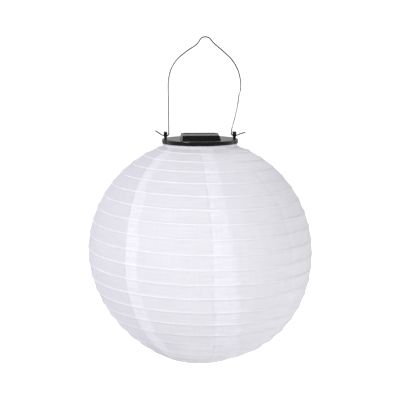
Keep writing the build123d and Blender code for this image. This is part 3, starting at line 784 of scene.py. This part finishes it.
def makeStitchTree():
    tree, given = newShapeTree(
        "stitchLine",
        {
            **clothPath, "Bottom Latitude": clothPath["Bottom Latitude"] + stitch["hemGap"],
            "Seam": 0.0, "Lean": 0.0, "Inset": stitch["inset"], "Depth": stitch["depth"],
            "Length": stitch["length"], "Thread": stitch["thread"], "Count": int(goreLength / stitch["pitch"]),
        },
    )
    points = addNode(tree, "GeometryNodePoints", {"Count": given["Count"]})
    index = addNode(tree, "GeometryNodeInputIndex")
    share = (index + 0.5) / given["Count"]
    latitude = given["Top Latitude"] + (given["Bottom Latitude"] - given["Top Latitude"]) * share
    level = (latitude * degree).math("COSINE")
    out = given["Radius"] - given["Depth"]
    angle = (
        seamDirection(tree, given["Seam"], given["Lean"], latitude)
        + given["Inset"] / (level * given["Radius"] * degree)
    ) * degree
    rise = (latitude * degree).math("SINE")
    place = onRound(tree, level * out, angle, given["Centre Height"] + rise * out, hangAskew(tree, latitude))
    sewn = addNode(tree, "GeometryNodeSetPosition", {"Geometry": points, "Position": place})
    along = combine(tree, -rise * angle.math("COSINE"), -rise * angle.math("SINE"), level)
    turned = addNode(tree, "FunctionNodeAlignRotationToVector", {"Vector": along}, axis="Z")
    bead = addNode(
        tree,
        "GeometryNodeMeshCylinder",
        {"Vertices": constantInt(tree, 6), "Radius": given["Thread"], "Depth": given["Length"]},
    )
    stitches = addNode(tree, "GeometryNodeInstanceOnPoints", {"Points": sewn, "Instance": bead, "Rotation": turned})
    endShapeTree(tree, stitches, given["Material"])
    return tree


def makeSeamStitches():
    tree = makeStitchTree()
    made = []
    for number, (direction, lean, *_) in enumerate(seams):
        piece = buildByNodes(f"seam_stitches_{number + 1}", tree, {"Seam": direction, "Lean": lean}, sewingThread)
        foldWithShade(piece)
        made.append(piece)
    return made


# the cloth rolled round the lower hoop

weld = 0.00002  # points closer than this are one, where a rolled sheet meets itself
hem = {"roll": 0.00155, "gather": 0.0003, "lip": 0.00022, "lipAt": 1.9, "flat": 0.97}


def makeHemTree():
    low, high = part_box("mouth_hoop")
    ring = (high.x - low.x) / 2 - (high.z - low.z) / 2
    tree, given = newShapeTree(
        "hemShape",
        {
            "Ring": ring, "Roll": hem["roll"], "Height": mouthHeight, "Gather": hem["gather"],
            "Around": 360, "Section": 14,
        },
    )
    grid, gridX, gridY = newGrid(tree, given["Around"], given["Section"])
    angle = gridX * turn
    section = gridY * turn
    circle = combine(tree, angle.math("COSINE") * 22.0, angle.math("SINE") * 22.0, section.math("COSINE") * 0.6)
    fold = noise(tree, circle, 1.0, 3.0, 0.6)
    lip = bell(section - hem["lipAt"], 0.35) * hem["lip"]  # raw edge turned under on the inside
    roll = given["Roll"] + fold * given["Gather"] + lip
    level = given["Ring"] + section.math("COSINE") * roll
    place = onRound(tree, level, angle, given["Height"] + section.math("SINE") * roll * hem["flat"])
    uv = combine(tree, angle * 0.047, section * 0.0015, 0.0)
    made = storeValue(tree, grid, "UVMap", uv, "FLOAT2", "CORNER")
    made = storeValue(tree, made, "band", constant(tree, 1.0))
    moved = addNode(tree, "GeometryNodeSetPosition", {"Geometry": made, "Position": place})
    closed = addNode(tree, "GeometryNodeMergeByDistance", {"Geometry": moved, "Distance": weld})
    endShapeTree(tree, closed, given["Material"])
    return tree


ribSteel = metalMaterial("ribSteel", (0.62, 0.62, 0.64), (0.42, 0.41, 0.40), 0.3)


def makeSpiral():
    piece = buildByNodes("spring_spiral", makeCoilTree(), {}, ribSteel)
    foldWithShade(piece)
    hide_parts("rib_coil")


def makeTape():
    piece = buildByNodes("spiral_tape", makeTapeTree(), {}, tapeCloth)
    foldWithShade(piece)
    return piece


def makeHem():
    piece = buildByNodes("mouth_roll", makeHemTree(), {}, shadeCloth)
    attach(piece, "mouth")
    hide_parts("mouth_hem")
    return piece


# gathered cloth binding that hides the collar under the cap

binding = {"clear": 0.0004, "gather": 0.00055, "folds": 46.0, "belowLid": 0.0005, "belly": 0.0002}


def makeBindingTree():
    low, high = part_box("shade_collar")
    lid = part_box("cap_lid")[0].z
    tree, given = newShapeTree(
        "bindingShape",
        {
            "Inner": high.x + binding["clear"], "Low": low.z, "High": min(high.z, lid - binding["belowLid"]),
            "Gather": binding["gather"], "Folds": binding["folds"], "Around": 420, "Rows": 9,
        },
    )
    grid, gridX, gridY = newGrid(tree, given["Around"], given["Rows"])
    angle = gridX * turn
    circle = combine(tree, angle.math("COSINE") * 3.0, angle.math("SINE") * 3.0, gridY * 0.4)
    uneven = noise(tree, circle, 1.0, 3.0, 0.6)
    fold = (angle * given["Folds"] + uneven * 26.0).math("SINE") * 0.5 + 0.5
    level = given["Inner"] + fold * given["Gather"] + bell(gridY + 0.2, 0.3) * binding["belly"]
    height = given["Low"] + (gridY + 0.5) * (given["High"] - given["Low"]) + uneven * 0.0004
    place = onRound(tree, level, angle, height)
    made = storeValue(tree, grid, "UVMap", combine(tree, angle * 0.049, gridY * 0.006, 0.0), "FLOAT2", "CORNER")
    made = storeValue(tree, made, "band", constant(tree, 0.5))
    # painted shade in the valleys of the gathers, carried with the seams' painted shade
    made = storeValue(tree, made, "seam", (1.0 - fold) * 0.3)
    moved = addNode(tree, "GeometryNodeSetPosition", {"Geometry": made, "Position": place})
    closed = addNode(tree, "GeometryNodeMergeByDistance", {"Geometry": moved, "Distance": weld})
    endShapeTree(tree, closed, given["Material"])
    return tree


def makeNeckBinding():
    piece = buildByNodes("neck_binding", makeBindingTree(), {}, shadeCloth)
    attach(piece, "shade")
    return piece


makeSpiral()
tape = makeTape()
neckBinding = makeNeckBinding()
seamStitches = makeSeamStitches()
mouthRoll = makeHem()
print("spiral, tape, stitches and hem made")

for number, piece in enumerate(gores):
    extra = [tape, neckBinding, mouthRoll] if number == 0 else []


# cap, panel, electronics and bail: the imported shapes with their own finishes


cells = {"fingerPitch": 0.0016, "barPitch": 0.00995}


def makeCellMaterial():
    # dark cells with thin silver fingers and two wider bars
    material, tree, shader = newMaterial("siliconCells", {"Specular IOR Level": 0.6, "Coat Weight": 0.3})
    x, y, _ = separate(tree, objectPlace(tree))
    fingers = smooth(tree, 0.90, 0.97, (y * (turn / cells["fingerPitch"])).math("COSINE"))
    bars = smooth(tree, 0.985, 0.995, (x * (turn / cells["barPitch"]) + math.pi).math("COSINE"))
    crystal = noise(tree, combine(tree, x, y, 0.0), 420.0, 2.0)
    silicon = blendColour(tree, (0.012, 0.013, 0.03), (0.03, 0.032, 0.06), crystal + 0.5)
    printed = blendColour(tree, silicon, (0.55, 0.55, 0.57), fingers.math("MAXIMUM", bars) * 0.75)
    join(tree, printed, shader.inputs["Base Color"])
    join(tree, crystal * 0.1 + 0.28, shader.inputs["Roughness"])
    join(tree, fingers.math("MAXIMUM", bars) * 0.7, shader.inputs["Metallic"])
    setBump(tree, shader, fingers + bars, 0.2, 0.00003)
    return material


def makeResinMaterial():
    material, tree, shader = newMaterial(
        "clearResin",
        {"Base Color": (0.3, 0.25, 0.24, 1.0), "Transmission Weight": 0.8, "IOR": 1.2},
    )
    place = objectPlace(tree)
    wave = noise(tree, place, 55.0, 2.0)
    speck = noise(tree, place, 1500.0, 3.0)
    join(tree, smooth(tree, 0.05, 0.35, speck) * 0.2 + wave * 0.04 + 0.2, shader.inputs["Roughness"])
    setBump(tree, shader, wave, 0.15, 0.0004)
    return material


def makeBoardMaterial():
    material, tree, shader = newMaterial("boardLaminate", {"Coat Weight": 0.4})
    x, y, _ = separate(tree, objectPlace(tree))
    cell = addNode(
        tree, "ShaderNodeTexVoronoi", {"Vector": combine(tree, x, y, 0.0), "Scale": 260.0},
        distance="MANHATTAN", feature="DISTANCE_TO_EDGE",
    )
    track = 1.0 - smooth(tree, 0.03, 0.07, cell)
    fibre = noise(tree, combine(tree, x * 4.0, y, 0.0), 1800.0, 2.0)
    mask = blendColour(tree, (0.012, 0.11, 0.045), (0.03, 0.2, 0.08), track)
    join(tree, blendColour(tree, mask, (0.01, 0.07, 0.03), fibre + 0.3), shader.inputs["Base Color"])
    join(tree, fibre * 0.1 + 0.36, shader.inputs["Roughness"])
    setBump(tree, shader, track, 0.4, 0.00006)
    return material


sleeve = {"bare": 0.0014, "band": 0.0140}  # how far each reaches from the raised end


def makeBatteryMaterial():
    # printed sleeve with a plain band, and bare metal at the raised end
    material, tree, shader = newMaterial("batteryCase", {"Coat Weight": 0.5, "Coat Roughness": 0.12})
    x, _, _ = separate(tree, objectPlace(tree))
    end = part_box("battery_cell")[1].x
    bare = smooth(tree, end - sleeve["bare"], end - sleeve["bare"] + 0.0003, x)
    band = smooth(tree, end - sleeve["band"], end - sleeve["band"] + 0.0002, x)
    skin = useEffect(tree, mouldedSkin, {"Grain": 1500.0})
    printed = blendColour(tree, (0.30, 0.52, 0.36), (0.72, 0.74, 0.72), band)
    join(tree, blendColour(tree, printed, (0.75, 0.74, 0.72), bare), shader.inputs["Base Color"])
    join(tree, bare, shader.inputs["Metallic"])
    join(tree, skin["Gloss"] * 0.15 + 0.3, shader.inputs["Roughness"])
    setBump(tree, shader, skin["Height"], 0.1, 0.00004)
    return material


def makeLensMaterial():
    material, tree, shader = newMaterial(
        "lensPlastic",
        {"Subsurface Weight": 0.6, "Subsurface Scale": 0.002, "Subsurface Radius": (1.0, 0.95, 0.9)},
    )
    skin = useEffect(tree, mouldedSkin, {"Grain": 3000.0})
    colour = blendColour(tree, (0.88, 0.87, 0.83), (0.7, 0.69, 0.66), skin["Dust"] * 0.3)
    join(tree, colour, shader.inputs["Base Color"])
    join(tree, skin["Gloss"] * 0.12 + 0.32, shader.inputs["Roughness"])
    setBump(tree, shader, skin["Height"], 0.2, 0.00005)
    return material


winding = {"flange": 0.0011, "edge": 0.0002, "pitch": 0.0003}


def makeWindingMaterial():
    # enamelled copper between two ferrite flanges
    material, tree, shader = newMaterial("inductorBody", {})
    _, _, z = separate(tree, objectPlace(tree))
    low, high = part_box("inductor")
    inner = winding["flange"] - winding["edge"]
    aboveLower = smooth(tree, low.z + inner, low.z + winding["flange"], z)
    belowUpper = 1.0 - smooth(tree, high.z - winding["flange"], high.z - inner, z)
    wound = aboveLower * belowUpper
    wires = (z * (turn / winding["pitch"])).math("SINE")
    join(tree, blendColour(tree, (0.03, 0.03, 0.032), (0.45, 0.16, 0.05), wound), shader.inputs["Base Color"])
    join(tree, wound * 0.6, shader.inputs["Metallic"])
    join(tree, wires * 0.08 + 0.45, shader.inputs["Roughness"])
    setBump(tree, shader, wires * wound, 0.6, 0.0001)
    return material


# name: colour, dust colour, roughness, how much the gloss changes, grain, pieces
plastics = {
    "sealRubber": ((0.05, 0.05, 0.055), (0.2, 0.19, 0.18), 0.75, 0.1, 900.0, ["seal_ring"]),
    "padFoam": ((0.62, 0.61, 0.58), (0.4, 0.39, 0.36), 0.85, 0.1, 700.0, ["panel_pad"]),
    "collarPlastic": ((0.74, 0.74, 0.76), (0.5, 0.49, 0.47), 0.42, 0.18, 2200.0, ["shade_collar"]),
    "knobPlastic": ((0.72, 0.72, 0.72), (0.45, 0.44, 0.42), 0.5, 0.15, 2200.0, ["switch_slider"]),
    "chipPlastic": ((0.015, 0.015, 0.017), (0.2, 0.2, 0.2), 0.6, 0.1, 3000.0, ["driver_chip"]),
    "leadBlack": ((0.012, 0.012, 0.013), (0.15, 0.15, 0.15), 0.45, 0.15, 2200.0, ["lead_minus"]),
    "leadRed": ((0.42, 0.012, 0.012), (0.5, 0.3, 0.28), 0.45, 0.15, 2200.0, ["lead_plus"]),
}
capPlastic = plasticMaterial("capPlastic", (0.004, 0.004, 0.0046), (0.10, 0.095, 0.09), 0.18, 0.12)
ledEpoxy = plasticMaterial("ledEpoxy", (0.86, 0.8, 0.52), (0.7, 0.68, 0.6), 0.15, 0.1, 2500.0, {"Coat Weight": 0.5})
screwSteel = metalMaterial("screwSteel", (0.55, 0.55, 0.56), (0.35, 0.34, 0.33), 0.32)
contactMetal = metalMaterial("contactMetal", (0.72, 0.70, 0.64), (0.5, 0.45, 0.36), 0.26)
finishes = [
    (capPlastic, ["cap_lid", "cap_base", "battery_door"]),
    (ledEpoxy, ["led"]),
    (makeBailMaterial(), ["bail_wire"]),
    (screwSteel, ["cap_screws", "board_screws"]),
    (contactMetal, ["plus_contact", "minus_contact", "battery_spring", "switch_can"]),
    (ribSteel, ["neck_hoop", "mouth_hoop"]),
    (makeCellMaterial(), ["solar_cells"]),
    (makeResinMaterial(), ["panel_resin"]),
    (makeBoardMaterial(), ["solar_board", "circuit_board"]),
    (makeBatteryMaterial(), ["battery_cell"]),
    (makeLensMaterial(), ["led_lens"]),
    (makeWindingMaterial(), ["inductor"]),
]
finishes += [(plasticMaterial(name, *values), members) for name, (*values, members) in plastics.items()]
for material, members in finishes:
    for member in members:
        for slotHere in nodes[member].material_slots:
            slotHere.material = material
print("finishes given to", sum(len(members) for _, members in finishes), "packed nodes")


# raised marks under the pod, one at each end of the switch slot

marks = {"size": 0.0026, "rise": 0.00015, "apart": 0.0034, "below": 0.0042}


def makeMark(name, text, x, y):
    curve = bpy.data.curves.new(name, "FONT")
    curve.body = text
    curve.size = marks["size"]
    curve.extrude = marks["rise"]
    curve.resolution_u = 4
    curve.align_x = "CENTER"
    curve.align_y = "CENTER"
    source = addObject(name + "_text", curve)
    depsgraph = bpy.context.evaluated_depsgraph_get()
    mesh = bpy.data.meshes.new_from_object(source.evaluated_get(depsgraph), depsgraph=depsgraph)
    bpy.data.objects.remove(source)
    # turned over so that it reads from below
    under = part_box("cap_base")[0].z
    mesh.transform(Matrix.Translation(Vector((x, y, under))) @ Euler((math.pi, 0, 0)).to_matrix().to_4x4())
    mesh.materials.clear()
    mesh.materials.append(capPlastic)
    piece = addObject(name, mesh)
    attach(piece, "cap")
    return piece


knobLow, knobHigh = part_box("switch_slider")
knobX = (knobLow.x + knobHigh.x) / 2
knobY = (knobLow.y + knobHigh.y) / 2
makeMark("mark_off", "OFF", knobX - marks["apart"], knobY - marks["below"])
makeMark("mark_on", "ON", knobX + marks["apart"], knobY - marks["below"])
print("marks made")


# room, lights and camera

view = {"distance": 1.425, "rise": 11.0, "aside": -2.0, "aimHeight": 0.2117, "lens": 95.1, "floor": -0.45}


room = {"steps": 24, "reach": 3.0, "bend": 1.6, "wall": 5.0, "width": 6.0}


def makeRoom():
    material, tree, shader = newMaterial("paleFloor", {"Base Color": (0.86, 0.86, 0.86, 1.0), "Roughness": 0.9})
    shader.inputs["Emission Color"].default_value = (1.0, 1.0, 1.0, 1.0)
    seen = addNode(tree, "ShaderNodeLightPath", output=0)
    join(tree, seen * 0.9 + 0.06, shader.inputs["Emission Strength"])
    # only its upper side shows, so that the lantern can be looked at from underneath
    join(tree, 1.0 - addNode(tree, "ShaderNodeNewGeometry", output=6), shader.inputs["Alpha"])
    # a floor that curves up into a back wall
    steps, reach, bend, wall, width = [room[key] for key in ("steps", "reach", "bend", "wall", "width")]
    profile = [(-reach, 0.0), (reach, 0.0)]
    profile += [
        (reach + bend * math.sin(math.pi / 2 * k / steps), bend - bend * math.cos(math.pi / 2 * k / steps))
        for k in range(1, steps + 1)
    ]
    profile.append((reach + bend, wall))
    vertices = [(side * width, y, view["floor"] + z) for y, z in profile for side in (-1, 1)]
    faces = [(2 * k, 2 * k + 1, 2 * k + 3, 2 * k + 2) for k in range(len(profile) - 1)]
    mesh = bpy.data.meshes.new("studio_floor")
    mesh.from_pydata(vertices, [], faces)
    mesh.materials.append(material)
    for face in mesh.polygons:
        face.use_smooth = True
    addObject("studio_floor", mesh)


def addLight(name, place, size, power, colour=(1.0, 1.0, 1.0), mirrored=True):
    light = bpy.data.lights.new(name, "AREA")
    light.size = size
    light.energy = power
    light.color = colour
    lamp = addObject(name, light)
    lamp.location = place
    lamp.visible_glossy = mirrored
    lamp.rotation_euler = (Vector((0, 0, shadeHeight)) - Vector(place)).to_track_quat("-Z", "Y").to_euler()


def setWorld():
    world = bpy.data.worlds.new("studio")
    bpy.context.scene.world = world
    world.use_nodes = True
    tree = world.node_tree
    back = tree.nodes["Background"]
    back.inputs[0].default_value = (1.0, 1.0, 1.0, 1.0)
    # a white wall behind, a darker room in front and overhead
    _, ahead, up = separate(tree, addNode(tree, "ShaderNodeTexCoord", output=0))
    wall = smooth(tree, -0.3, 0.7, ahead) * (1.0 - smooth(tree, 0.25, 0.9, up) * 0.75)
    seen = addNode(tree, "ShaderNodeLightPath", output=0)
    join(tree, (wall * 1.15 + 0.18).math("MAXIMUM", seen * 1.02), back.inputs[1])


def setCamera():
    rise, aside = math.radians(view["rise"]), math.radians(view["aside"])
    centre = Vector((0, 0, shadeHeight))
    place = centre + view["distance"] * Vector(
        (math.sin(aside) * math.cos(rise), -math.cos(aside) * math.cos(rise), math.sin(rise))
    )
    data = bpy.data.cameras.new("camera")
    data.lens = view["lens"]
    camera = addObject("camera", data)
    camera.location = place
    aim = Vector((0, 0, view["aimHeight"]))
    camera.rotation_euler = (aim - place).to_track_quat("-Z", "Y").to_euler()
    bpy.context.scene.camera = camera


makeRoom()
addLight("keySoftbox", (-1.7, -1.6, 1.5), 0.85, 62.0, (0.975, 0.97, 1.0))
addLight("fillSoftbox", (2.1, -1.75, 0.6), 1.5, 48.0, mirrored=False)
addLight("backSoftbox", (0.2, 1.4, 1.9), 1.4, 16.0)
setWorld()
setCamera()
bpy.context.scene.view_settings.view_transform = "Standard"
bpy.context.scene.view_settings.look = "None"
print("room, lights and camera set")
